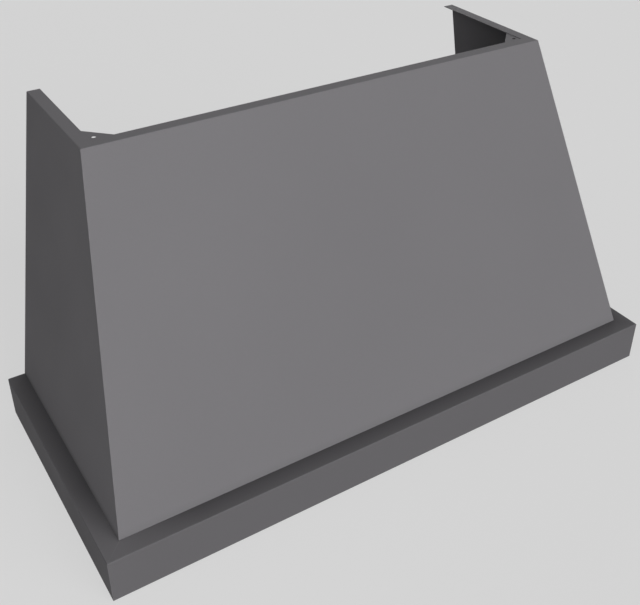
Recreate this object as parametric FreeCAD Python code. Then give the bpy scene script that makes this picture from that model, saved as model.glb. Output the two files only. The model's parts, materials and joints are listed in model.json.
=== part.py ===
import FreeCAD, Part
import math
import os

# A cover for a kitchen wall hood, folded from painted sheet metal. A tapered body, open at the
# top, at the wall and at the bottom, stands on a wider band. Angles, brackets and rails inside
# hold the panels together, screw to the wall and carry the hood insert. Every fixing is a stud
# welded to the hidden face of a panel, with a flange nut, so none shows from outside.
#
# Millimetres. X runs from left to right, -Y is the front, +Y touches the wall, and Z = 0 is the
# underside of the band. The origin is below the middle of the cover.

Vector = FreeCAD.Vector

# Outside sizes
overall_width = 1371.6        # across the band
overall_depth = 609.6         # from the wall to the front of the band
overall_height = 762.0        # from the underside of the band to the top flange
top_width = 1066.8            # across the top of the body
top_depth = 304.8             # from the wall to the front of the body's top
band_height = 101.6
ledge_width = 38.1            # shelf on top of the band, outside the body

# Sheet
panel_sheet = 1.2             # body panels, gussets, band and rear rail
frame_sheet = 2.0             # upper rail, insert rails, angles, brackets and stiffener
bend_radius = 1.0             # inside every fold

# Turned-in flanges, measured over the outside of the fold
top_flange = 26.5             # around the open top
foot_flange = 25.4            # under the body panels, on the band
return_flange = 25.4          # along the underside of the band
rail_flange = 19.0            # of the rear rail and the upper rail

# Gussets in the front corners of the top
gusset_leg = 101.6            # from the outer corner of the top along each edge to the plate's tip
gusset_hole_inset = 38.1      # from each outer edge of the top
gusset_hole_diameter = 8.7
gusset_tip = 10.0             # width of the plate where its narrow ends are cut off

# Rails on the wall
upper_rail_middle = 558.8     # height of the upper rail's middle
upper_rail_height = 63.5
wall_hole_pitch = 406.4       # between the studs in the wall
wall_hole_diameter = 7.2

# Rails that carry the hood insert
insert_rail_inset = 95.25     # from each side of the band to the clear space between the rails
insert_rail_height = 38.0
insert_hole_spacing = 381.0   # front to back
insert_hole_diameter = 5.2

# Angles, brackets and stiffener
corner_bracket_gap = 12.0     # from the band's ledge and from its return
bracket_stud_end = 14.0       # from an end of a bracket to its stud
seam_angle_end_gap = 6.0      # from the foot flange and from the gusset
stiffener_crown = 30.0        # inside width of the hat section
stiffener_depth = 20.0
stiffener_flange = 19.0

# Studs and flange nuts
stud_diameter = 5.0
stud_projection = 3.0         # past a nut that holds a bracket
stud_chamfer = 0.5
nut_across_flats = 8.0
nut_height = 5.0
nut_flange_diameter = 11.8
nut_flange_thickness = 1.2
edge_margin = 3.0             # from a nut to the free edge of what it holds

# How many fixings a joint has, and where its row of fixings ends
seam_stud_count = 5           # up each leg of a seam angle
seam_stud_end = 30.0          # from a seam angle's end to its first stud
foot_front_stud_count = 7
foot_side_stud_count = 4
foot_stud_end = 60.0          # from a corner of the foot, or from the wall, to the first stud
stiffener_stud_count = 5      # along each flange of the stiffener
stiffener_stud_end = 30.0

# Clearances
hole_clearance = 0.25         # around a stud in its hole
thread_clearance = 0.05       # around a stud in its nut
nut_gap = 1.5                 # from a nut to the next nut or fold
fit_gap = 0.5                 # from the end of a rail, plate or bracket to what it fits between
cut_margin = 10.0             # how far a cutting shape runs past what it cuts

# Planes that the sizes above set
wall_y = overall_depth / 2
band_front_y = -overall_depth / 2
band_side_x = overall_width / 2
foot_front_y = band_front_y + ledge_width
foot_side_x = band_side_x - ledge_width
top_front_y = wall_y - top_depth
top_side_x = top_width / 2
body_height = overall_height - band_height
front_lean = math.atan((top_front_y - foot_front_y) / body_height)
side_lean = math.atan((foot_side_x - top_side_x) / body_height)
under_top_flange = overall_height - panel_sheet
under_gusset = under_top_flange - panel_sheet
upper_rail_bottom = upper_rail_middle - upper_rail_height / 2
upper_rail_top = upper_rail_middle + upper_rail_height / 2
band_inner_width = ledge_width + foot_flange
insert_rail_x = band_side_x - insert_rail_inset

# Room for the nuts: a nut on one leg of an angle stands clear of the nuts on the other leg
nut_radius = nut_flange_diameter / 2
stud_length = frame_sheet + nut_height + stud_projection
stud_inset = frame_sheet + nut_height + nut_radius + nut_gap
angle_leg = stud_inset + nut_radius + edge_margin
foot_stud_inset = foot_flange - nut_radius - edge_margin

# Directions square to the body panels, pointing inside, and along them
into_front = Vector(0, math.cos(front_lean), -math.sin(front_lean))
into_right_side = Vector(-math.cos(side_lean), 0, -math.sin(side_lean))
up_the_front = Vector(0, math.sin(front_lean), math.cos(front_lean))


def body_front(height, inset=0.0):
    """Y of the front panel's outer face at a height, moved in square to the panel by an inset."""
    return foot_front_y + (height - band_height) * math.tan(front_lean) + inset / math.cos(front_lean)


def body_side(height, inset=0.0):
    """X of the right side panel's outer face at a height, moved in by an inset."""
    return foot_side_x - (height - band_height) * math.tan(side_lean) - inset / math.cos(side_lean)


def band_front(height):
    """Y of the band's front face, which is upright, so the same at every height."""
    return band_front_y


def band_side(height):
    """X of the band's right face, the same at every height."""
    return band_side_x


# ---- Shapes that the sub-parts are made from ----

def evenly(first, last, count):
    """Evenly spaced values from the first to the last."""
    return [first + (last - first) * i / (count - 1) for i in range(count)]


def rounded_outline(points, radii):
    """Closed flat wire through the points, with corner i rounded to radii[i]."""
    starts = []
    ends = []
    edges = []
    for i, corner in enumerate(points):
        if radii[i] == 0:
            starts.append(corner)
            ends.append(corner)
            continue
        back = (points[i - 1] - corner).normalize()
        ahead = (points[(i + 1) % len(points)] - corner).normalize()
        half_angle = back.getAngle(ahead) / 2
        setback = radii[i] / math.tan(half_angle)
        to_arc = radii[i] / math.sin(half_angle) - radii[i]
        starts.append(corner + back * setback)
        ends.append(corner + ahead * setback)
        middle = corner + (back + ahead).normalize() * to_arc
        edges.append(Part.Arc(starts[i], middle, ends[i]).toShape())
    for i, end in enumerate(ends):
        edges.append(Part.LineSegment(end, starts[(i + 1) % len(points)]).toShape())
    return Part.Wire(Part.sortEdges(edges)[0])


def folded_sheet(line, sheet, run):
    """A sheet folded along the corners of a flat line and run along a vector square to it.

    The line is one face of the sheet. The sheet lies on the side of the line that
    run x (direction of the line) points to, and every fold is rounded.
    """
    along = Vector(run).normalize()
    directions = [(line[i + 1] - line[i]).normalize() for i in range(len(line) - 1)]
    normals = [along.cross(direction) for direction in directions]
    other_face = [line[0] + normals[0] * sheet]
    line_radii = [0]
    other_radii = [0]
    for i in range(1, len(line) - 1):
        shift = (normals[i - 1] + normals[i]) * (sheet / (1 + normals[i - 1].dot(normals[i])))
        other_face.append(line[i] + shift)
        turns_over_sheet = directions[i].dot(normals[i - 1]) > 0
        line_radii.append(bend_radius + sheet if turns_over_sheet else bend_radius)
        other_radii.append(bend_radius if turns_over_sheet else bend_radius + sheet)
    other_face.append(line[-1] + normals[-1] * sheet)
    points = line + other_face[::-1]
    radii = line_radii + [0] + [0] + other_radii[::-1]
    return Part.Face(rounded_outline(points, radii)).extrude(run)


def folded_angle(x_span, y_span, height, run):
    """An angle with one leg along X and one along Y, run from a height along a vector.

    Each span is (outer face, inner face, free end of the other leg).
    """
    x_outer, x_inner, x_end = x_span
    y_outer, y_inner, y_end = y_span
    outline = [(x_end, y_outer), (x_outer, y_outer), (x_outer, y_end)]
    outline += [(x_inner, y_end), (x_inner, y_inner), (x_end, y_inner)]
    points = [Vector(x, y, height) for x, y in outline]
    radii = [0, bend_radius + frame_sheet, 0, 0, bend_radius, 0]
    return Part.Face(rounded_outline(points, radii)).extrude(run)


def flat_sided(lower, upper):
    """Solid with flat sides between a lower and an upper polygon of equally many corners."""
    rings = [lower, upper]
    for i in range(len(lower)):
        j = (i + 1) % len(lower)
        rings.append([lower[i], lower[j], upper[j], upper[i]])
    faces = [Part.Face(Part.makePolygon(ring + ring[:1])) for ring in rings]
    solid = Part.Solid(Part.Shell(faces))
    if solid.Volume < 0:
        solid.reverse()
    return solid


def mirrored(shape):
    """The same piece on the left."""
    return shape.mirror(Vector(0, 0, 0), Vector(1, 0, 0))


def cylinders(sites, diameter, start, end):
    """A cylinder at each site, from start to end along the site's direction."""
    radius = diameter / 2
    rods = [Part.makeCylinder(radius, end - start, at + into * start, into) for at, into in sites]
    return Part.makeCompound(rods)


def drilled(shape, sites, diameter):
    """The shape with a hole at each site, through whatever lies just behind the site."""
    return shape.cut(cylinders(sites, diameter, -cut_margin, cut_margin))


def stud_holes(shape, sites):
    """The shape with a clearance hole for the stud at each site."""
    return drilled(shape, sites, stud_diameter + 2 * hole_clearance)


# ---- Mitred regions: where the front pieces and the side pieces meet at 45 degrees in plan ----

def mitre_corner(front_at, side_at, height, inward):
    """Point on the right front mitre at a height, this far in from both outer faces."""
    return Vector(side_at(height) - inward, front_at(height) + inward, height)


def front_region(front_at, side_at, low, high):
    """Space between the two front mitres, which holds the pieces that face the front."""
    rings = []
    for height in (low - cut_margin, high + cut_margin):
        outer = mitre_corner(front_at, side_at, height, -cut_margin)
        inner = mitre_corner(front_at, side_at, height, band_inner_width + cut_margin)
        left_outer = Vector(-outer.x, outer.y, height)
        left_inner = Vector(-inner.x, inner.y, height)
        rings.append([left_outer, outer, inner, left_inner])
    return flat_sided(rings[0], rings[1])


def side_region(front_at, side_at, low, high):
    """Space behind the right front mitre, which holds the pieces that face right."""
    rings = []
    for height in (low - cut_margin, high + cut_margin):
        outer = mitre_corner(front_at, side_at, height, -cut_margin)
        inner = mitre_corner(front_at, side_at, height, band_inner_width + cut_margin)
        back_inner = Vector(inner.x, wall_y + cut_margin, height)
        back_outer = Vector(outer.x, wall_y + cut_margin, height)
        rings.append([outer, back_outer, back_inner, inner])
    return flat_sided(rings[0], rings[1])


# ---- Where the fixings stand: each site is a point on the face that carries the stud and the
# direction in which the stud points. Sites on the right are mirrored to the left. ----

def both_sides(sites):
    """Sites on the right, and their mirror images on the left."""
    left = [(Vector(-at.x, at.y, at.z), Vector(-into.x, into.y, into.z)) for at, into in sites]
    return sites + left


def seam_angle_bottom():
    return band_height + panel_sheet + seam_angle_end_gap


def seam_angle_top():
    return under_gusset - seam_angle_end_gap


def seam_front_sites():
    """On the front panel, along the right seam."""
    heights = evenly(seam_angle_bottom() + seam_stud_end, seam_angle_top() - seam_stud_end, seam_stud_count)
    return [(Vector(body_side(z, panel_sheet + stud_inset), body_front(z, panel_sheet), z), into_front)
            for z in heights]


def seam_side_sites():
    """On the right side panel, along the seam."""
    heights = evenly(seam_angle_bottom() + seam_stud_end, seam_angle_top() - seam_stud_end, seam_stud_count)
    return [(Vector(body_side(z, panel_sheet), body_front(z, panel_sheet + stud_inset), z), into_right_side)
            for z in heights]


def gusset_sites():
    """Under the top flanges of the front panel and the right side panel."""
    first = panel_sheet + angle_leg + nut_radius + nut_gap
    last = gusset_leg - top_flange / 2 - math.sqrt(2) * (nut_radius + edge_margin)
    down = Vector(0, 0, -1)
    sites = []
    for along in (first, last):
        on_front = Vector(top_side_x - along, top_front_y + top_flange / 2, under_top_flange)
        on_side = Vector(top_side_x - top_flange / 2, top_front_y + along, under_top_flange)
        sites += [(on_front, down), (on_side, down)]
    return sites


def foot_front_sites():
    """On the front of the band's ledge, through the front panel's foot flange."""
    end_x = foot_side_x - foot_stud_end
    y = foot_front_y + foot_stud_inset
    up = Vector(0, 0, 1)
    return [(Vector(x, y, band_height), up) for x in evenly(-end_x, end_x, foot_front_stud_count)]


def foot_side_sites():
    """On the right of the band's ledge, through the right side panel's foot flange."""
    x = foot_side_x - foot_stud_inset
    up = Vector(0, 0, 1)
    lengthwise = evenly(foot_front_y + foot_stud_end, wall_y - foot_stud_end, foot_side_stud_count)
    return [(Vector(x, y, band_height), up) for y in lengthwise]


def corner_bracket_ends():
    """Heights of the lower and upper end of the brackets in the band's corners."""
    return panel_sheet + corner_bracket_gap, band_height - panel_sheet - corner_bracket_gap


def corner_sites(face_y, to_inside):
    """In a right corner of the band: on the face at face_y, and on the right face beside it."""
    side_x = band_side_x - panel_sheet
    low, high = corner_bracket_ends()
    sites = []
    for z in (low + bracket_stud_end, high - bracket_stud_end):
        sites.append((Vector(side_x - stud_inset, face_y, z), Vector(0, to_inside, 0)))
        sites.append((Vector(side_x, face_y + to_inside * stud_inset, z), Vector(-1, 0, 0)))
    return sites


def front_corner_sites():
    return corner_sites(band_front_y + panel_sheet, 1)


def rear_corner_sites():
    return corner_sites(wall_y - panel_sheet, -1)


def upper_bracket_ends():
    """Heights of the ends of the upper rail's brackets, between the folds of its flanges."""
    inside_flange = frame_sheet + bend_radius + fit_gap
    return upper_rail_bottom + inside_flange, upper_rail_top - inside_flange


def upper_rail_sites():
    """At the right end of the upper rail: on the rail, and on the right side panel beside it."""
    rail_face = wall_y - frame_sheet
    low, high = upper_bracket_ends()
    sites = []
    for z in (low + bracket_stud_end, high - bracket_stud_end):
        on_rail = Vector(body_side(z, panel_sheet + stud_inset), rail_face, z)
        on_side = Vector(body_side(z, panel_sheet), rail_face - stud_inset, z)
        sites += [(on_rail, Vector(0, -1, 0)), (on_side, into_right_side)]
    return sites


def insert_rail_sites():
    """At the two ends of the right insert rail: on the band's return and on the rear rail."""
    x = insert_rail_x + stud_inset
    up = Vector(0, 0, 1)
    front = Vector(x, band_front_y + return_flange / 2, panel_sheet)
    rear = Vector(x, wall_y - rail_flange / 2, panel_sheet)
    return [(front, up), (rear, up)]


def stiffener_middle():
    """Middle of the stiffener, on the inner face of the front panel."""
    z = (band_height + overall_height) / 2
    return Vector(0, body_front(z, panel_sheet), z)


def stiffener_half_length():
    """From the middle to an end, clear of the seam angles at the stiffener's upper edge."""
    upper_edge = stiffener_middle() + up_the_front * (stiffener_crown / 2 + stiffener_flange)
    return body_side(upper_edge.z, panel_sheet + angle_leg + fit_gap)


def stiffener_sites():
    """On the front panel, through both flanges of the stiffener."""
    end_x = stiffener_half_length() - stiffener_stud_end
    off_middle = stiffener_crown / 2 + stiffener_flange / 2
    sites = []
    for up in (-off_middle, off_middle):
        for x in evenly(-end_x, end_x, stiffener_stud_count):
            sites.append((stiffener_middle() + up_the_front * up + Vector(x, 0, 0), into_front))
    return sites


# ---- Body ----

def front_panel():
    """The sloping front with its top flange and foot flange, mitred at both ends."""
    top = Vector(-band_side_x, top_front_y, overall_height)
    foot = Vector(-band_side_x, foot_front_y, band_height)
    line = [top + Vector(0, top_flange, 0), top, foot, foot + Vector(0, foot_flange, 0)]
    sheet = folded_sheet(line, panel_sheet, Vector(overall_width, 0, 0))
    panel = sheet.common(front_region(body_front, body_side, band_height, overall_height))
    return stud_holes(panel, foot_front_sites())


def side_panel():
    """The right side, from the mitre to the wall, with its top flange and foot flange."""
    top = Vector(top_side_x, band_front_y, overall_height)
    foot = Vector(foot_side_x, band_front_y, band_height)
    line = [top - Vector(top_flange, 0, 0), top, foot, foot - Vector(foot_flange, 0, 0)]
    sheet = folded_sheet(line, panel_sheet, Vector(0, overall_depth, 0))
    panel = sheet.common(side_region(body_front, body_side, band_height, overall_height))
    return stud_holes(panel, foot_side_sites())


def top_gusset():
    """Flat plate under the right front corner of the top flanges, with the hanging hole."""
    near = panel_sheet + bend_radius + fit_gap
    tip = near + gusset_tip
    far = gusset_leg - tip
    outline = [(near, near), (far, near), (far, tip), (tip, far), (near, far)]
    points = [Vector(top_side_x - x, top_front_y + y, under_gusset) for x, y in outline]
    plate = Part.Face(Part.makePolygon(points + points[:1])).extrude(Vector(0, 0, panel_sheet))
    hole = Vector(top_side_x - gusset_hole_inset, top_front_y + gusset_hole_inset, under_gusset)
    plate = drilled(plate, [(hole, Vector(0, 0, 1))], gusset_hole_diameter)
    return stud_holes(plate, gusset_sites())


def seam_angle():
    """Folded angle inside the right front corner, which joins the front and the side."""
    low = seam_angle_bottom()
    high = seam_angle_top()
    insets = (panel_sheet, panel_sheet + frame_sheet, panel_sheet + angle_leg)
    x_span = [body_side(low, inset) for inset in insets]
    y_span = [body_front(low, inset) for inset in insets]
    run = Vector(body_side(high) - body_side(low), body_front(high) - body_front(low), high - low)
    angle = folded_angle(x_span, y_span, low, run)
    return stud_holes(angle, seam_front_sites() + seam_side_sites())


def front_stiffener():
    """Hat section across the inner face of the front panel."""
    half_crown = stiffener_crown / 2
    edge = half_crown + stiffener_flange
    profile = [(edge, 0), (half_crown, 0), (half_crown, stiffener_depth)]
    profile += [(-half_crown, stiffener_depth), (-half_crown, 0), (-edge, 0)]
    start = stiffener_middle() - Vector(stiffener_half_length(), 0, 0)
    line = [start + up_the_front * up + into_front * depth for up, depth in profile]
    hat = folded_sheet(line, frame_sheet, Vector(2 * stiffener_half_length(), 0, 0))
    return stud_holes(hat, stiffener_sites())


# ---- Band ----

def band_front_channel():
    """Front of the band: ledge, upright face and return, mitred at both ends."""
    corner = Vector(-band_side_x, band_front_y, 0)
    up = Vector(0, 0, band_height)
    line = [corner + up + Vector(0, band_inner_width, 0), corner + up, corner]
    line += [corner + Vector(0, return_flange, 0)]
    channel = folded_sheet(line, panel_sheet, Vector(overall_width, 0, 0))
    return channel.common(front_region(band_front, band_side, 0, band_height))


def band_side_channel():
    """Right side of the band, from the mitre to the wall."""
    corner = Vector(band_side_x, band_front_y, 0)
    up = Vector(0, 0, band_height)
    line = [corner + up - Vector(band_inner_width, 0, 0), corner + up, corner]
    line += [corner - Vector(return_flange, 0, 0)]
    channel = folded_sheet(line, panel_sheet, Vector(0, overall_depth, 0))
    return channel.common(side_region(band_front, band_side, 0, band_height))


def corner_bracket(face_y, to_inside, sites):
    """Angle in a right corner of the band, against the face at face_y and the side face."""
    low, high = corner_bracket_ends()
    side_x = band_side_x - panel_sheet
    x_span = (side_x, side_x - frame_sheet, side_x - angle_leg)
    y_span = (face_y, face_y + to_inside * frame_sheet, face_y + to_inside * angle_leg)
    bracket = folded_angle(x_span, y_span, low, Vector(0, 0, high - low))
    return stud_holes(bracket, sites)


def front_corner_bracket():
    return corner_bracket(band_front_y + panel_sheet, 1, front_corner_sites())


def rear_corner_bracket():
    return corner_bracket(wall_y - panel_sheet, -1, rear_corner_sites())


# ---- Rails ----

def wall_channel(half_length, low, high, sheet):
    """Channel along X with its web on the wall and its flanges pointing to the front."""
    foot = Vector(-half_length, wall_y, low)
    top = Vector(-half_length, wall_y, high)
    line = [foot - Vector(0, rail_flange, 0), foot, top, top - Vector(0, rail_flange, 0)]
    return folded_sheet(line, sheet, Vector(2 * half_length, 0, 0))


def wall_holes(height):
    """Sites of the screw holes for three studs in the wall."""
    return [(Vector(x, wall_y, height), Vector(0, 1, 0)) for x in (-wall_hole_pitch, 0, wall_hole_pitch)]


def rear_rail():
    """Rail between the wall ends of the band; its flanges stop short of the band's ledge."""
    half_length = band_side_x - panel_sheet - fit_gap
    rail = wall_channel(half_length, 0, band_height, panel_sheet)
    flange_end = band_side_x - band_inner_width - fit_gap
    cope = panel_sheet + bend_radius + fit_gap
    for x in (-half_length - cut_margin, flange_end):
        for z in (-cut_margin, band_height - cope):
            corner = Vector(x, wall_y - rail_flange - cut_margin, z)
            notch = Part.makeBox(half_length + cut_margin - flange_end, rail_flange + 2 * cut_margin,
                                 cope + cut_margin, corner)
            rail = rail.cut(notch)
    return drilled(rail, wall_holes(band_height / 2), wall_hole_diameter)


def upper_rail():
    """Rail between the side panels, inside the body, with ends that follow their slope."""
    rail = wall_channel(foot_side_x, upper_rail_bottom, upper_rail_top, frame_sheet)
    rings = []
    for z in (upper_rail_bottom - cut_margin, upper_rail_top + cut_margin):
        x = body_side(z, panel_sheet + fit_gap)
        near = wall_y - rail_flange - cut_margin
        far = wall_y + cut_margin
        rings.append([Vector(-x, near, z), Vector(x, near, z), Vector(x, far, z), Vector(-x, far, z)])
    rail = rail.common(flat_sided(rings[0], rings[1]))
    return drilled(rail, wall_holes(upper_rail_middle), wall_hole_diameter)


def upper_rail_bracket():
    """Angle that joins the right end of the upper rail to the side panel."""
    low, high = upper_bracket_ends()
    rail_face = wall_y - frame_sheet
    insets = (panel_sheet, panel_sheet + frame_sheet, panel_sheet + angle_leg)
    x_span = [body_side(low, inset) for inset in insets]
    y_span = (rail_face, rail_face - frame_sheet, rail_face - angle_leg)
    run = Vector(body_side(high) - body_side(low), 0, high - low)
    return stud_holes(folded_angle(x_span, y_span, low, run), upper_rail_sites())


def insert_rail():
    """Right rail for the hood insert, on the band's return and the rear rail's lower flange."""
    end = panel_sheet + bend_radius + fit_gap
    corner = Vector(insert_rail_x, band_front_y + end, panel_sheet)
    line = [corner + Vector(angle_leg, 0, 0), corner, corner + Vector(0, 0, insert_rail_height)]
    rail = folded_sheet(line, frame_sheet, Vector(0, overall_depth - 2 * end, 0))
    hole_x = insert_rail_x + stud_inset
    holes = [(Vector(hole_x, y, panel_sheet), Vector(0, 0, 1))
             for y in (-insert_hole_spacing / 2, insert_hole_spacing / 2)]
    rail = drilled(rail, holes, insert_hole_diameter)
    return stud_holes(rail, insert_rail_sites())


# ---- Fixings ----

def stud():
    """Welded stud along +Z, with a chamfered tip."""
    radius = stud_diameter / 2
    shank = Part.makeCylinder(radius, stud_length - stud_chamfer)
    tip = Part.makeCone(radius, radius - stud_chamfer, stud_chamfer, Vector(0, 0, stud_length - stud_chamfer))
    return shank.fuse(tip).removeSplitter()


def nut():
    """Hexagon nut along +Z, with a flange under it and its top corners chamfered."""
    corner_radius = nut_across_flats / math.sqrt(3)
    corners = [Vector(corner_radius * math.cos(turn), corner_radius * math.sin(turn), 0)
               for turn in (math.radians(60 * i) for i in range(6))]
    hexagon = Part.Face(Part.makePolygon(corners + corners[:1])).extrude(Vector(0, 0, nut_height))
    crown = Part.makeCone(nut_across_flats / 2 + nut_height, nut_across_flats / 2, nut_height)
    hexagon = hexagon.common(crown)
    flange = Part.makeCylinder(nut_flange_diameter / 2, nut_flange_thickness)
    bore = Part.makeCylinder(stud_diameter / 2 + thread_clearance, nut_height)
    return hexagon.fuse(flange).cut(bore)


def placed(shape, at, into):
    """A copy of a shape made along +Z, moved to a point and turned into a direction."""
    copy = shape.copy()
    copy.Placement = FreeCAD.Placement(at, FreeCAD.Rotation(Vector(0, 0, 1), into))
    return copy


def studs(sites):
    """A stud at each site."""
    pattern = stud()
    return Part.makeCompound([placed(pattern, at, into) for at, into in sites])


def nuts(sites, held_sheet):
    """A nut on each stud, seated on the sheet that the stud passes through."""
    pattern = nut()
    return Part.makeCompound([placed(pattern, at + into * held_sheet, into) for at, into in sites])


def fixings():
    """Studs and nuts of every joint, one group of each to a joint."""
    joints = {
        "seam": (both_sides(seam_front_sites() + seam_side_sites()), frame_sheet),
        "gusset": (both_sides(gusset_sites()), panel_sheet),
        "foot": (foot_front_sites() + both_sides(foot_side_sites()), panel_sheet),
        "band_corner": (both_sides(front_corner_sites() + rear_corner_sites()), frame_sheet),
        "upper_rail": (both_sides(upper_rail_sites()), frame_sheet),
        "insert_rail": (both_sides(insert_rail_sites()), frame_sheet),
        "stiffener": (stiffener_sites(), frame_sheet),
    }
    pieces = {}
    for joint, (sites, held_sheet) in joints.items():
        pieces[joint + "_studs"] = studs(sites)
        pieces[joint + "_nuts"] = nuts(sites, held_sheet)
    return pieces


def sub_parts():
    """Every sub-part by name."""
    pieces = {
        "front_panel": front_panel(),
        "front_stiffener": front_stiffener(),
        "band_front": band_front_channel(),
        "rear_rail": rear_rail(),
        "upper_rail": upper_rail(),
    }
    right_hand = {
        "side_panel": side_panel(),
        "top_gusset": top_gusset(),
        "seam_angle": seam_angle(),
        "band_side": band_side_channel(),
        "front_corner_bracket": front_corner_bracket(),
        "rear_corner_bracket": rear_corner_bracket(),
        "upper_rail_bracket": upper_rail_bracket(),
        "insert_rail": insert_rail(),
    }
    for name, shape in right_hand.items():
        pieces["right_" + name] = shape
        pieces["left_" + name] = mirrored(shape)
    pieces.update(fixings())
    return pieces


os.makedirs("parts", exist_ok=True)
for name, shape in sub_parts().items():
    shape.exportStep("parts/" + name + ".step")
    print(f"{name}: {len(shape.Solids)} solids, {shape.Volume / 1000:.2f} cm3")
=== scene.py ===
import json
import math
import random

import bpy
import numpy as np
from mathutils import Matrix, Vector


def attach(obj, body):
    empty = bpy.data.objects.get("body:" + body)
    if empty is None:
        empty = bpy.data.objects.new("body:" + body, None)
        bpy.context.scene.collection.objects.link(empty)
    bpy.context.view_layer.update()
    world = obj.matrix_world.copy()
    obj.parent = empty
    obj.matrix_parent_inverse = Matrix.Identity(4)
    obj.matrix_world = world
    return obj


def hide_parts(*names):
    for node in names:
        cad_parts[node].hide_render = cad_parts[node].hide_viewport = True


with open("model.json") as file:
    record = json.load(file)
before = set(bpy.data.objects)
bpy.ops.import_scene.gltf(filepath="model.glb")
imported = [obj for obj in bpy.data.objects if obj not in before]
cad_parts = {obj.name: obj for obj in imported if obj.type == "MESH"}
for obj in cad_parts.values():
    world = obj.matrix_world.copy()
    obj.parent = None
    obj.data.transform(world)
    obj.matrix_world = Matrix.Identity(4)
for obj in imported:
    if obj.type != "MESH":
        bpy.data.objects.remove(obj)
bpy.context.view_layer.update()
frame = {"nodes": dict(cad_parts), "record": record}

# A range hood cover of painted sheet metal, seen from above its left front corner. Metres, in the
# frame of the model: X to the right, -Y to the front, Z up, and the band's underside at Z = 0. The
# sheets show as the model has them, with materials. Detailed pieces replace its studs and nuts.

NODES = frame["nodes"]

# Where the body stands on the band's ledge
LEDGE_TOP = 0.1016
LEDGE_WIDTH = 0.0381
BODY_FOOT_X = 0.6477          # outside of the right panel's foot
BODY_FOOT_Y = -0.2667         # outside of the front panel's foot
BODY_TOP = 0.762
BODY_TOP_Y = 0.0              # outside of the front panel's top
WALL_Y = 0.3048

# Colours, linear
PAINT = (0.2025, 0.1965, 0.2065)
BODY_PAINTED_LIGHT_TONE = 1.11              # of the paint on the sloping body: painted light, lighter than the band
BAND_PAINTED_SHADE_TONE = 0.83              # of the paint on the band: painted shade, darker than the body
ZINC_SHEET = (0.5, 0.51, 0.52)
COPPER_FLASH = (0.52, 0.5, 0.45)
BRIGHT_ZINC = (0.58, 0.59, 0.6)
WHITE = (1.0, 1.0, 1.0)
BACKGROUND = 0.651

# Powder coat. Here and below, a scale is in waves to a metre, and a pair is a least and a most.
CLOUD_SCALE = 2.6             # slow changes of tone
CLOUD_TONES = (0.988, 1.012)
SHEEN_SCALE = 7.0             # slow changes of roughness
PAINT_ROUGHNESS = (0.66, 0.74)
PAINT_SPECULAR = 0.09         # the powder coat's own gloss, as Specular IOR Level
PEEL_SCALE = 330.0            # orange peel
PEEL_DEPTH = 0.00006
PEEL_STRENGTH = 0.5
GRAIN_SCALE = 1900.0
GRAIN_TONES = (0.95, 1.05)
GRAIN_DEPTH = 0.00002
GRAIN_STRENGTH = 0.4          # also of the grain on metal
RUBBED_SCALE = 45.0
RUBBED_GAIN = (0.02, 0.22)
RUBBED_RADIUS = 0.0016        # how far from a sharp edge the paint is rubbed
EDGE_COSINES = (0.75, 0.98)   # of the turn at a full edge, and where no edge is left

# Painted light and shade on the paint by place, as shares of its colour
JOINT_SHADE_TONE = 0.68             # painted shade on the ledge where it meets the body
JOINT_START = 0.08            # share of the ledge's width that has this tone
JOINT_FADE = 0.15             # from the left front corner to where it is this dark
CORNER_LIGHT_TONE = 1.24            # painted light on the ledge at the left front corner
CORNER_FADE = 0.17            # from there to where the ledge is plain
FOLD_START = 0.0001           # below the ledge's top, where its painted light and shade begin to fade
FOLD_END = 0.0005             # and where the band is plain
FOOT_SHADE_HEIGHT = 0.016           # how far up the body the painted shade at its foot reaches
FOOT_SHADE_LOSSES = (0.1, 0.36)     # painted shade: what the foot of the front loses, and the foot of a side
SIDE_FACING = (0.1, 0.3)      # how far outwards the front faces at most, and a side at least
INSIDE_FACING = (-0.15, -0.05)      # and a side's inside at most, and the front at least
INSIDE_SHADE_TONES = (0.34, 1.18)   # painted shade inside a side panel at the front, and painted light at the wall
FLANGE_START = 0.0025         # below the body's top, where the inside's painted shade begins to fade
FLANGE_END = 0.0015           # and where the flange is plain

# Zinc sheet
SPANGLE_SCALE = 230.0
SPANGLE_TONES = (0.95, 1.05)
RAGGED_SCALE = 420.0          # of the spangles' borders
RAGGED_REACH = 0.005
ZINC_CLOUD_SCALE = 30.0
ZINC_CLOUD_TONES = (0.94, 1.04)
STREAK_SCALE = 60.0
STREAK_STRETCH = (0.15, 1.0, 6.0)
STREAK_TONES = (0.98, 1.02)
ZINC_ROUGHNESS = (0.4, 0.48)
ZINC_GRAIN_SCALE = 900.0
ZINC_GRAIN_DEPTH = 0.00001

# Plating
MOTTLE_SCALE = 700.0
MOTTLE_TONES = (0.9, 1.08)
COPPER_ROUGHNESS = (0.34, 0.46)
BRIGHT_ROUGHNESS = (0.24, 0.36)
PLATING_GRAIN_SCALE = 3000.0
PLATING_GRAIN_DEPTH = 0.000005

# Studs
STUD_RADIUS = 0.0025
STUD_LENGTH = 0.010
STUD_CHAMFER = 0.0005
THREAD_PITCH = 0.0008
THREAD_DEPTH = 0.00043
THREAD_START = 0.0012
THREAD_STEPS = 16             # round one turn

# Flange nuts
NUT_FLATS_RADIUS = 0.004      # from the axis to a flat
NUT_FACE_RADIUS = NUT_FLATS_RADIUS * 0.96
NUT_HEIGHT = 0.005
NUT_BORE_RADIUS = 0.00255
NUT_FLANGE_RADIUS = 0.0059
NUT_RIM_CHAMFER = 0.0002      # under the flange's rim
NUT_RIM_HEIGHT = 0.0007
NUT_SKIRT_RADIUS = 0.0054     # where the flange begins to slope
NUT_SKIRT_HEIGHT = 0.0010
NUT_FOOT_CHAMFER = 0.0003     # of the bore, at the foot
NUT_TOP_CHAMFER = 0.0004      # of the bore, at the top
NUT_SLOPE = math.tan(math.radians(30))
NUT_STEPS = 48                # round the nut, so that every corner has one

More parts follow.
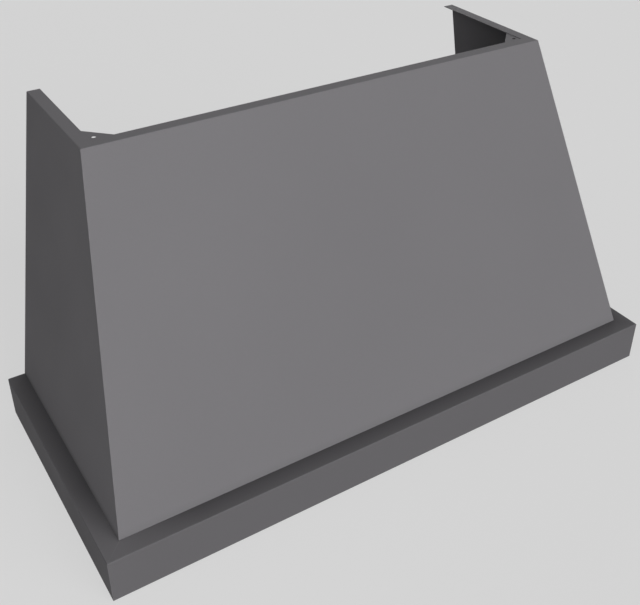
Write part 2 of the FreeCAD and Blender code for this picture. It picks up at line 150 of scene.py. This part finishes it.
SMOOTH_BELOW = math.radians(25)     # edges that turn less than this are smooth
SAME_POINTS = 1e6                   # points that are alike at this many steps to a metre are one
END_DEPTH = 1e-5                    # how far from a fixing's end its end's points lie
TURN = 6.3                          # a fixing is turned by up to this, in radians
SEED = 7

# Floor and light
FLOOR_RADIUS = 30.0
FLOOR_SIDES = 64
FLOOR_GAP = 0.0004
FLOOR_SEEN = 0.22             # the floor's colour where a ray sees it directly
FLOOR_BOUNCE = 0.1            # and where it lights the object
FLOOR_LIGHT = 0.41            # the light that falls on it, as a share of its colour that shows
AMBIENT = 0.2
SUN_DISTANCE = 4.0

# Camera
CAMERA_PLACE = (-0.95928, -1.46282, 1.47102)
CAMERA_ANGLES = (57.955, -0.316, -32.415)
CAMERA_SENSOR = 36.0          # mm
CAMERA_LENS = 52.56           # mm
CAMERA_SHIFT = (-0.0128, -0.0793)
CAMERA_CLIPS = (0.05, 200.0)


# ---- Materials ----

class Shader:
    """A material's node tree, with short calls to add nodes."""

    def __init__(self, name):
        self.material = bpy.data.materials.new(name)
        self.material.use_nodes = True
        self.tree = self.material.node_tree
        self.tree.nodes.clear()
        self.output = self.add("ShaderNodeOutputMaterial")
        self.place = self.add("ShaderNodeTexCoord").outputs["Object"]

    def add(self, kind, inputs=None, **settings):
        """A node with its settings, and its inputs set to values or linked to other outputs."""
        node = self.tree.nodes.new(kind)
        for key, value in settings.items():
            setattr(node, key, value)
        for key, value in (inputs or {}).items():
            if isinstance(value, bpy.types.NodeSocket):
                self.tree.links.new(value, node.inputs[key])
            else:
                node.inputs[key].default_value = value
        return node

    def noise(self, scale, detail, stretch=None):
        """Smooth noise, mostly between 0.3 and 0.7."""
        vector = self.place
        if stretch:
            vector = self.add("ShaderNodeMapping", {"Vector": vector, "Scale": stretch}).outputs[0]
        inputs = {"Vector": vector, "Scale": scale, "Detail": detail}
        return self.add("ShaderNodeTexNoise", inputs).outputs["Fac"]

    def ranged(self, value, low, high, from_low=0.3, from_high=0.7):
        """Low where the value is from_low, high where it is from_high, and no further."""
        inputs = {"Value": value, "From Min": from_low, "From Max": from_high,
                  "To Min": low, "To Max": high}
        return self.add("ShaderNodeMapRange", inputs).outputs[0]

    def math(self, operation, a, b):
        return self.add("ShaderNodeMath", {0: a, 1: b}, operation=operation).outputs[0]

    def axes(self, vector):
        """X, Y and Z of a vector."""
        return self.add("ShaderNodeSeparateXYZ", {"Vector": vector}).outputs

    def normal(self):
        """The direction in which the surface faces."""
        return self.add("ShaderNodeNewGeometry").outputs["Normal"]

    def tinted(self, color, factor):
        """A colour made lighter or darker by a factor."""
        inputs = {0: color, "Scale": factor}
        return self.add("ShaderNodeVectorMath", inputs, operation="SCALE").outputs[0]

    def bump(self, height, distance, strength, normal=None):
        """A bump as deep as the distance, in metres."""
        inputs = {"Height": height, "Distance": distance, "Strength": strength}
        if normal:
            inputs["Normal"] = normal
        return self.add("ShaderNodeBump", inputs).outputs["Normal"]

    def surface(self, **inputs):
        """Ends the material in one Principled shader."""
        named = {key.replace("_", " "): value for key, value in inputs.items()}
        shader = self.add("ShaderNodeBsdfPrincipled", named)
        self.tree.links.new(shader.outputs[0], self.output.inputs["Surface"])
        return self.material


def worn_edges(s):
    """0 on flat faces, up to 1 where the surface turns sharply close by."""
    rounded = s.add("ShaderNodeBevel", {"Radius": RUBBED_RADIUS}, samples=6).outputs[0]
    inputs = {0: rounded, 1: s.normal()}
    turned = s.add("ShaderNodeVectorMath", inputs, operation="DOT_PRODUCT").outputs["Value"]
    return s.ranged(turned, 1.0, 0.0, *EDGE_COSINES)


def band_painted_light_and_shade(s):
    """Painted shade darkens the ledge beside the body, and painted light lightens it at the left
    front corner.
    """
    x, y, z = s.axes(s.place)
    aside = s.math("ABSOLUTE", x, 0.0)
    sideways = s.ranged(aside, 0.0, 1.0, BODY_FOOT_X, BODY_FOOT_X + LEDGE_WIDTH)
    forwards = s.ranged(y, 0.0, 1.0, BODY_FOOT_Y, BODY_FOOT_Y - LEDGE_WIDTH)
    outward = s.math("MAXIMUM", sideways, forwards)
    from_left = s.math("ADD", x, BODY_FOOT_X)
    from_front = s.math("SUBTRACT", y, BODY_FOOT_Y)
    from_corner = s.math("MAXIMUM", from_left, from_front)
    # painted shade beside the body
    joint_shade = s.ranged(from_corner, 1.0, JOINT_SHADE_TONE, 0.0, JOINT_FADE)
    # painted light at the left front corner
    lighter = s.ranged(from_corner, CORNER_LIGHT_TONE, 1.0, 0.0, CORNER_FADE)
    ledge = s.math("MULTIPLY", s.ranged(outward, joint_shade, 1.0, JOINT_START, 1.0), lighter)
    return s.ranged(z, 1.0, ledge, LEDGE_TOP - FOLD_END, LEDGE_TOP - FOLD_START)


def body_painted_light_and_shade(s):
    """Painted shade darkens the body's foot above the ledge, and the inside of its sides towards
    the front; painted light lightens that inside near the wall.
    """
    x, y, z = s.axes(s.place)
    # Over 0 on the outside of a side panel, under 0 on its inside, and 0 on the front
    outwards = s.math("MULTIPLY", s.axes(s.normal())[0], x)
    loss = s.ranged(outwards, *FOOT_SHADE_LOSSES, *SIDE_FACING)
    low = s.ranged(z, 1.0, 0.0, LEDGE_TOP, LEDGE_TOP + FOOT_SHADE_HEIGHT)
    # painted shade at the foot
    foot = s.math("SUBTRACT", 1.0, s.math("MULTIPLY", loss, low))
    front = s.ranged(z, BODY_FOOT_Y, BODY_TOP_Y, LEDGE_TOP, BODY_TOP)
    from_front = s.math("SUBTRACT", y, front)
    # painted shade inside a side, turning to painted light near the wall
    inside = s.ranged(from_front, *INSIDE_SHADE_TONES, 0.0, WALL_Y)
    outside = s.ranged(outwards, 0.0, 1.0, *INSIDE_FACING)
    flange = s.ranged(z, 0.0, 1.0, BODY_TOP - FLANGE_START, BODY_TOP - FLANGE_END)
    plain = s.math("MAXIMUM", outside, flange)
    return s.math("MULTIPLY", foot, s.ranged(plain, inside, 1.0, 0.0, 1.0))


def powder_coat(name, tone, painted_place_light):
    """Matte grey powder coat: fine texture, a tone and tones by place that are painted light and
    shade, edges rubbed a little lighter.
    """
    s = Shader(name)
    cloud = s.ranged(s.noise(CLOUD_SCALE, 1.0), *CLOUD_TONES)
    # slow random tone, times painted light and shade by place
    slow = s.math("MULTIPLY", cloud, painted_place_light(s))
    grain = s.ranged(s.noise(GRAIN_SCALE, 1.0), *GRAIN_TONES)
    patches = s.ranged(s.noise(RUBBED_SCALE, 3.0), *RUBBED_GAIN)
    rubbed = s.math("MULTIPLY", worn_edges(s), patches)
    # the tone given is painted light on the body and painted shade on the band
    shade = s.math("MULTIPLY", s.math("MULTIPLY", slow, grain), s.math("ADD", rubbed, tone))
    peel = s.bump(s.noise(PEEL_SCALE, 2.0), PEEL_DEPTH, PEEL_STRENGTH)
    fine = s.bump(s.noise(GRAIN_SCALE, 1.0), GRAIN_DEPTH, GRAIN_STRENGTH, peel)
    sheen = s.ranged(s.noise(SHEEN_SCALE, 3.0), *PAINT_ROUGHNESS)
    return s.surface(Base_Color=s.tinted(PAINT, shade), Normal=fine,
                     Roughness=s.math("SUBTRACT", sheen, rubbed),
                     Specular_IOR_Level=PAINT_SPECULAR)


def galvanised_sheet():
    """Hot-dipped zinc: small dull spangles with ragged borders under a soft cloud of grey."""
    s = Shader("galvanised_sheet")
    inputs = {"Vector": s.place, "Scale": RAGGED_SCALE, "Detail": 2.0}
    ragged = s.add("ShaderNodeTexNoise", inputs).outputs["Color"]
    inputs = {0: ragged, 1: (RAGGED_REACH,) * 3, 2: s.place}
    warped = s.add("ShaderNodeVectorMath", inputs, operation="MULTIPLY_ADD").outputs[0]
    inputs = {"Vector": warped, "Scale": SPANGLE_SCALE, "Randomness": 1.0}
    cells = s.add("ShaderNodeTexVoronoi", inputs).outputs["Color"]
    tone = s.add("ShaderNodeSeparateColor", {"Color": cells}).outputs[0]
    cloud = s.ranged(s.noise(ZINC_CLOUD_SCALE, 3.0), *ZINC_CLOUD_TONES)
    streak = s.ranged(s.noise(STREAK_SCALE, 2.0, STREAK_STRETCH), *STREAK_TONES)
    spangle = s.ranged(tone, *SPANGLE_TONES, 0.0, 1.0)
    shade = s.math("MULTIPLY", spangle, s.math("MULTIPLY", cloud, streak))
    bump = s.bump(s.noise(ZINC_GRAIN_SCALE, 2.0), ZINC_GRAIN_DEPTH, GRAIN_STRENGTH)
    return s.surface(Base_Color=s.tinted(ZINC_SHEET, shade), Normal=bump, Metallic=1.0,
                     Roughness=s.ranged(tone, *ZINC_ROUGHNESS, 0.0, 1.0))


def plated(name, color, roughness):
    """Plated steel with a soft mottle in its gloss."""
    s = Shader(name)
    mottle = s.noise(MOTTLE_SCALE, 2.0)
    shade = s.tinted(color, s.ranged(mottle, *MOTTLE_TONES))
    bump = s.bump(s.noise(PLATING_GRAIN_SCALE, 1.0), PLATING_GRAIN_DEPTH, GRAIN_STRENGTH)
    return s.surface(Base_Color=shade, Normal=bump, Metallic=1.0,
                     Roughness=s.ranged(mottle, *roughness))


# The body's powder coat is lighter as painted light, with painted shade at its foot and inside;
# the band's copy is darker as painted shade, with painted light and shade on its ledge.
MATERIALS = {
    "painted_sheet": powder_coat("powder_coat", BODY_PAINTED_LIGHT_TONE, body_painted_light_and_shade),
    "galvanised_sheet": galvanised_sheet(),
    "weld_studs": plated("copper_flash", COPPER_FLASH, COPPER_ROUGHNESS),
    "flange_nuts": plated("bright_zinc", BRIGHT_ZINC, BRIGHT_ROUGHNESS),
}
BAND_PAINT_SHADED = powder_coat("band_powder_coat_painted_shade", BAND_PAINTED_SHADE_TONE, band_painted_light_and_shade)
for part in frame["record"]["subparts"]:
    NODES[part["node"]].material_slots[0].material = MATERIALS[part["material_slot"]]
for name in ("band_front", "left_band_side", "right_band_side"):
    NODES[name].material_slots[0].material = BAND_PAINT_SHADED


# ---- Studs and nuts ----

def solids_of(node):
    """The points of each separate solid in a node's mesh, as arrays."""
    mesh = node.data
    points = np.array([v.co for v in mesh.vertices])
    keys = [tuple(row) for row in np.round(points * SAME_POINTS).astype(int)]
    first = {}
    for i, key in enumerate(keys):
        first.setdefault(key, i)
    parent = list(range(len(points)))

    def root(i):
        while parent[i] != i:
            parent[i] = parent[parent[i]]
            i = parent[i]
        return i

    for i, key in enumerate(keys):
        parent[root(i)] = root(first[key])
    for polygon in mesh.polygons:
        start = root(polygon.vertices[0])
        for i in polygon.vertices[1:]:
            parent[root(i)] = start
    groups = {}
    for i in range(len(points)):
        groups.setdefault(root(i), []).append(i)
    return [points[indices] for indices in groups.values()]


def fixing_place(points, longest):
    """Base and direction of a stud or a nut.

    The direction is a stud's longest axis or a nut's shortest. Both narrow to their tips.
    """
    middle = points.mean(0)
    axes = np.linalg.eigh(np.cov((points - middle).T))[1]
    axis = axes[:, -1 if longest else 0]
    along = (points - middle) @ axis
    radius = np.linalg.norm((points - middle) - np.outer(along, axis), axis=1)
    high_end = radius[along > along.max() - END_DEPTH].max()
    low_end = radius[along < along.min() + END_DEPTH].max()
    if high_end > low_end:
        axis = -axis
        along = -along
    return Vector(middle + axis * along.min()), Vector(axis)


def ring_point(radius, angle, height):
    """A point at a radius and height, turned round Z by an angle."""
    return radius * math.cos(angle), radius * math.sin(angle), height


def threaded_stud():
    """Points and faces of a stud along +Z whose thread is one helical ridge."""
    turns = (STUD_LENGTH - STUD_CHAMFER - THREAD_START) / THREAD_PITCH - 1
    last = 2 * int(turns)
    points = []
    for step in range(THREAD_STEPS):
        angle = 2 * math.pi * step / THREAD_STEPS
        column = [(STUD_RADIUS, 0.0)]
        for i in range(last + 1):
            height = THREAD_START + THREAD_PITCH * (i / 2 + step / THREAD_STEPS)
            column.append((STUD_RADIUS - THREAD_DEPTH * (i % 2), height))
        column.append((STUD_RADIUS, STUD_LENGTH - STUD_CHAMFER))
        column.append((STUD_RADIUS - STUD_CHAMFER, STUD_LENGTH))
        points += [ring_point(radius, angle, height) for radius, height in column]
    size = last + 4

    def at(step, i):
        return (step % THREAD_STEPS) * size + i

    faces = []
    for step in range(THREAD_STEPS - 1):
        for i in range(size - 1):
            faces.append((at(step, i), at(step + 1, i), at(step + 1, i + 1), at(step, i + 1)))
    # Between the last column and the first, the ridge has climbed by one turn: two points
    end = THREAD_STEPS - 1
    top = size - 2
    faces.append((at(end, 0), at(0, 0), at(0, 1), at(0, 2), at(0, 3), at(end, 1)))
    for i in range(1, last):
        faces.append((at(end, i), at(0, i + 2), at(0, i + 3), at(end, i + 1)))
    faces.append((at(end, last), at(0, top), at(end, top), at(end, last + 1)))
    faces.append((at(end, top), at(0, top), at(0, top + 1), at(end, top + 1)))
    faces.append([at(step, top + 1) for step in range(THREAD_STEPS)])
    faces.append([at(step, 0) for step in reversed(range(THREAD_STEPS))])
    return points, faces


def flange_nut():
    """Points and faces of a hexagon nut along +Z, with a sloping flange and a chamfered top."""
    rows = []
    for step in range(NUT_STEPS):
        angle = 2 * math.pi * step / NUT_STEPS
        from_flat = (angle + math.pi / 6) % (math.pi / 3) - math.pi / 6
        side = NUT_FLATS_RADIUS / math.cos(from_flat)
        profile = [
            (NUT_BORE_RADIUS + NUT_FOOT_CHAMFER, 0.0),
            (NUT_FLANGE_RADIUS - NUT_RIM_CHAMFER, 0.0),
            (NUT_FLANGE_RADIUS, NUT_RIM_CHAMFER),
            (NUT_FLANGE_RADIUS, NUT_RIM_HEIGHT),
            (NUT_SKIRT_RADIUS, NUT_SKIRT_HEIGHT),
            (side, NUT_SKIRT_HEIGHT + (NUT_SKIRT_RADIUS - side) * NUT_SLOPE),
            (side, NUT_HEIGHT - (side - NUT_FACE_RADIUS) * NUT_SLOPE),
            (NUT_FACE_RADIUS, NUT_HEIGHT),
            (NUT_BORE_RADIUS + NUT_TOP_CHAMFER, NUT_HEIGHT),
            (NUT_BORE_RADIUS, NUT_HEIGHT - NUT_TOP_CHAMFER),
            (NUT_BORE_RADIUS, NUT_FOOT_CHAMFER),
        ]
        rows.append([ring_point(radius, angle, height) for radius, height in profile])
    size = len(rows[0])
    points = [point for row in rows for point in row]
    faces = []
    for step in range(NUT_STEPS):
        here, there = step * size, (step + 1) % NUT_STEPS * size
        for i in range(size):
            j = (i + 1) % size
            faces.append((here + i, there + i, there + j, here + j))
    return points, faces


def fixings(kind, pattern, longest, slot, chance):
    """Replaces each node of one kind with copies of the pattern, one at every solid's place."""
    shape, shape_faces = pattern()
    for name in sorted(NODES):
        if not name.endswith(kind):
            continue
        points = []
        faces = []
        for solid in solids_of(NODES[name]):
            base, axis = fixing_place(solid, longest)
            spin = Matrix.Rotation(chance.uniform(0, TURN), 3, "Z")
            turned = axis.to_track_quat("Z", "Y").to_matrix() @ spin
            first = len(points)
            points += [base + turned @ Vector(point) for point in shape]
            faces += [[first + i for i in face] for face in shape_faces]
        mesh = bpy.data.meshes.new("detailed_" + name)
        mesh.from_pydata(points, [], faces)
        mesh.shade_smooth()
        mesh.set_sharp_from_angle(angle=SMOOTH_BELOW)
        mesh.materials.append(MATERIALS[slot])
        piece = bpy.data.objects.new("detailed_" + name, mesh)
        bpy.context.scene.collection.objects.link(piece)
        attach(piece, "root")
        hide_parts(name)


chance = random.Random(SEED)
fixings("_studs", threaded_stud, True, "weld_studs", chance)
fixings("_nuts", flange_nut, False, "flange_nuts", chance)


# ---- Floor and background ----

def seen_directly(tree):
    """1 for rays from the camera and for those that gloss or glass sends on, 0 for the rest."""
    path = tree.nodes.new("ShaderNodeLightPath")
    total = path.outputs["Is Camera Ray"]
    for name in ("Is Glossy Ray", "Is Transmission Ray"):
        node = tree.nodes.new("ShaderNodeMath")
        node.operation = "MAXIMUM"
        tree.links.new(total, node.inputs[0])
        tree.links.new(path.outputs[name], node.inputs[1])
        total = node.outputs[0]
    return total


def floor():
    """A wide disc just under the band, pale to the camera, which keeps the object's shadow."""
    mesh = bpy.data.meshes.new("floor")
    angles = [2 * math.pi * i / FLOOR_SIDES for i in range(FLOOR_SIDES)]
    points = [ring_point(FLOOR_RADIUS, angle, -FLOOR_GAP) for angle in angles]
    mesh.from_pydata(points, [], [range(FLOOR_SIDES)])
    obj = bpy.data.objects.new("floor", mesh)
    bpy.context.scene.collection.objects.link(obj)
    s = Shader("floor")
    seen = seen_directly(s.tree)
    color = s.tinted(WHITE, s.ranged(seen, FLOOR_BOUNCE, FLOOR_SEEN, 0.0, 1.0))
    glow = s.math("MULTIPLY", seen, BACKGROUND - FLOOR_SEEN * FLOOR_LIGHT)
    mesh.materials.append(s.surface(Base_Color=color, Roughness=1.0, Specular_IOR_Level=0.0,
                                    Emission_Color=(*WHITE, 1.0), Emission_Strength=glow))


def background():
    """Soft light from all round, and the floor's tone where a ray sees the world directly."""
    world = bpy.data.worlds.new("studio")
    bpy.context.scene.world = world
    world.use_nodes = True
    tree = world.node_tree
    tree.nodes.clear()
    light = tree.nodes.new("ShaderNodeBackground")
    light.inputs["Color"].default_value = (*WHITE, 1.0)
    light.inputs["Strength"].default_value = AMBIENT
    pale = tree.nodes.new("ShaderNodeBackground")
    pale.inputs["Color"].default_value = (BACKGROUND, BACKGROUND, BACKGROUND, 1.0)
    mix = tree.nodes.new("ShaderNodeMixShader")
    tree.links.new(seen_directly(tree), mix.inputs[0])
    tree.links.new(light.outputs[0], mix.inputs[1])
    tree.links.new(pale.outputs[0], mix.inputs[2])
    output = tree.nodes.new("ShaderNodeOutputWorld")
    tree.links.new(mix.outputs[0], output.inputs["Surface"])


floor()
background()


# ---- Light and camera ----

def sun(name, azimuth, elevation, strength, spread):
    """A soft distant lamp, as wide as its spread in degrees. Azimuth 0 is in front, 90 right."""
    data = bpy.data.lights.new(name, "SUN")
    data.energy = strength
    data.angle = math.radians(spread)
    obj = bpy.data.objects.new(name, data)
    bpy.context.scene.collection.objects.link(obj)
    a, e = math.radians(azimuth), math.radians(elevation)
    towards = Vector((math.sin(a) * math.cos(e), -math.cos(a) * math.cos(e), math.sin(e)))
    obj.rotation_euler = towards.to_track_quat("Z", "Y").to_euler()
    obj.location = towards * SUN_DISTANCE


def softbox(name, place, target, width, radiance):
    """A square lamp that no camera sees, as bright as the radiance from any side that it faces."""
    data = bpy.data.lights.new(name, "AREA")
    data.size = width
    data.energy = radiance * width ** 2 * math.pi
    obj = bpy.data.objects.new(name, data)
    bpy.context.scene.collection.objects.link(obj)
    obj.location = place
    obj.rotation_euler = (Vector(place) - Vector(target)).to_track_quat("Z", "Y").to_euler()
    obj.visible_camera = False


sun("key", azimuth=12.0, elevation=9.0, strength=2.86, spread=62.0)
sun("back_right", azimuth=140.0, elevation=0.0, strength=1.1, spread=30.0)
softbox("front_left", place=(-1.8, -0.9, 0.55), target=(-0.3, -0.1, 0.4), width=1.0, radiance=1.0)
softbox("upper_left", place=(-1.6, -0.4, 2.2), target=(0.0, 0.0, 0.3), width=1.2, radiance=0.4)

camera_data = bpy.data.cameras.new("camera")
camera_data.sensor_width = CAMERA_SENSOR
camera_data.lens = CAMERA_LENS
camera_data.shift_x, camera_data.shift_y = CAMERA_SHIFT
camera_data.clip_start, camera_data.clip_end = CAMERA_CLIPS
camera = bpy.data.objects.new("camera", camera_data)
bpy.context.scene.collection.objects.link(camera)
camera.location = CAMERA_PLACE
camera.rotation_euler = [math.radians(angle) for angle in CAMERA_ANGLES]
bpy.context.scene.camera = camera

bpy.context.scene.view_settings.view_transform = "Standard"

bpy.context.view_layer.update()
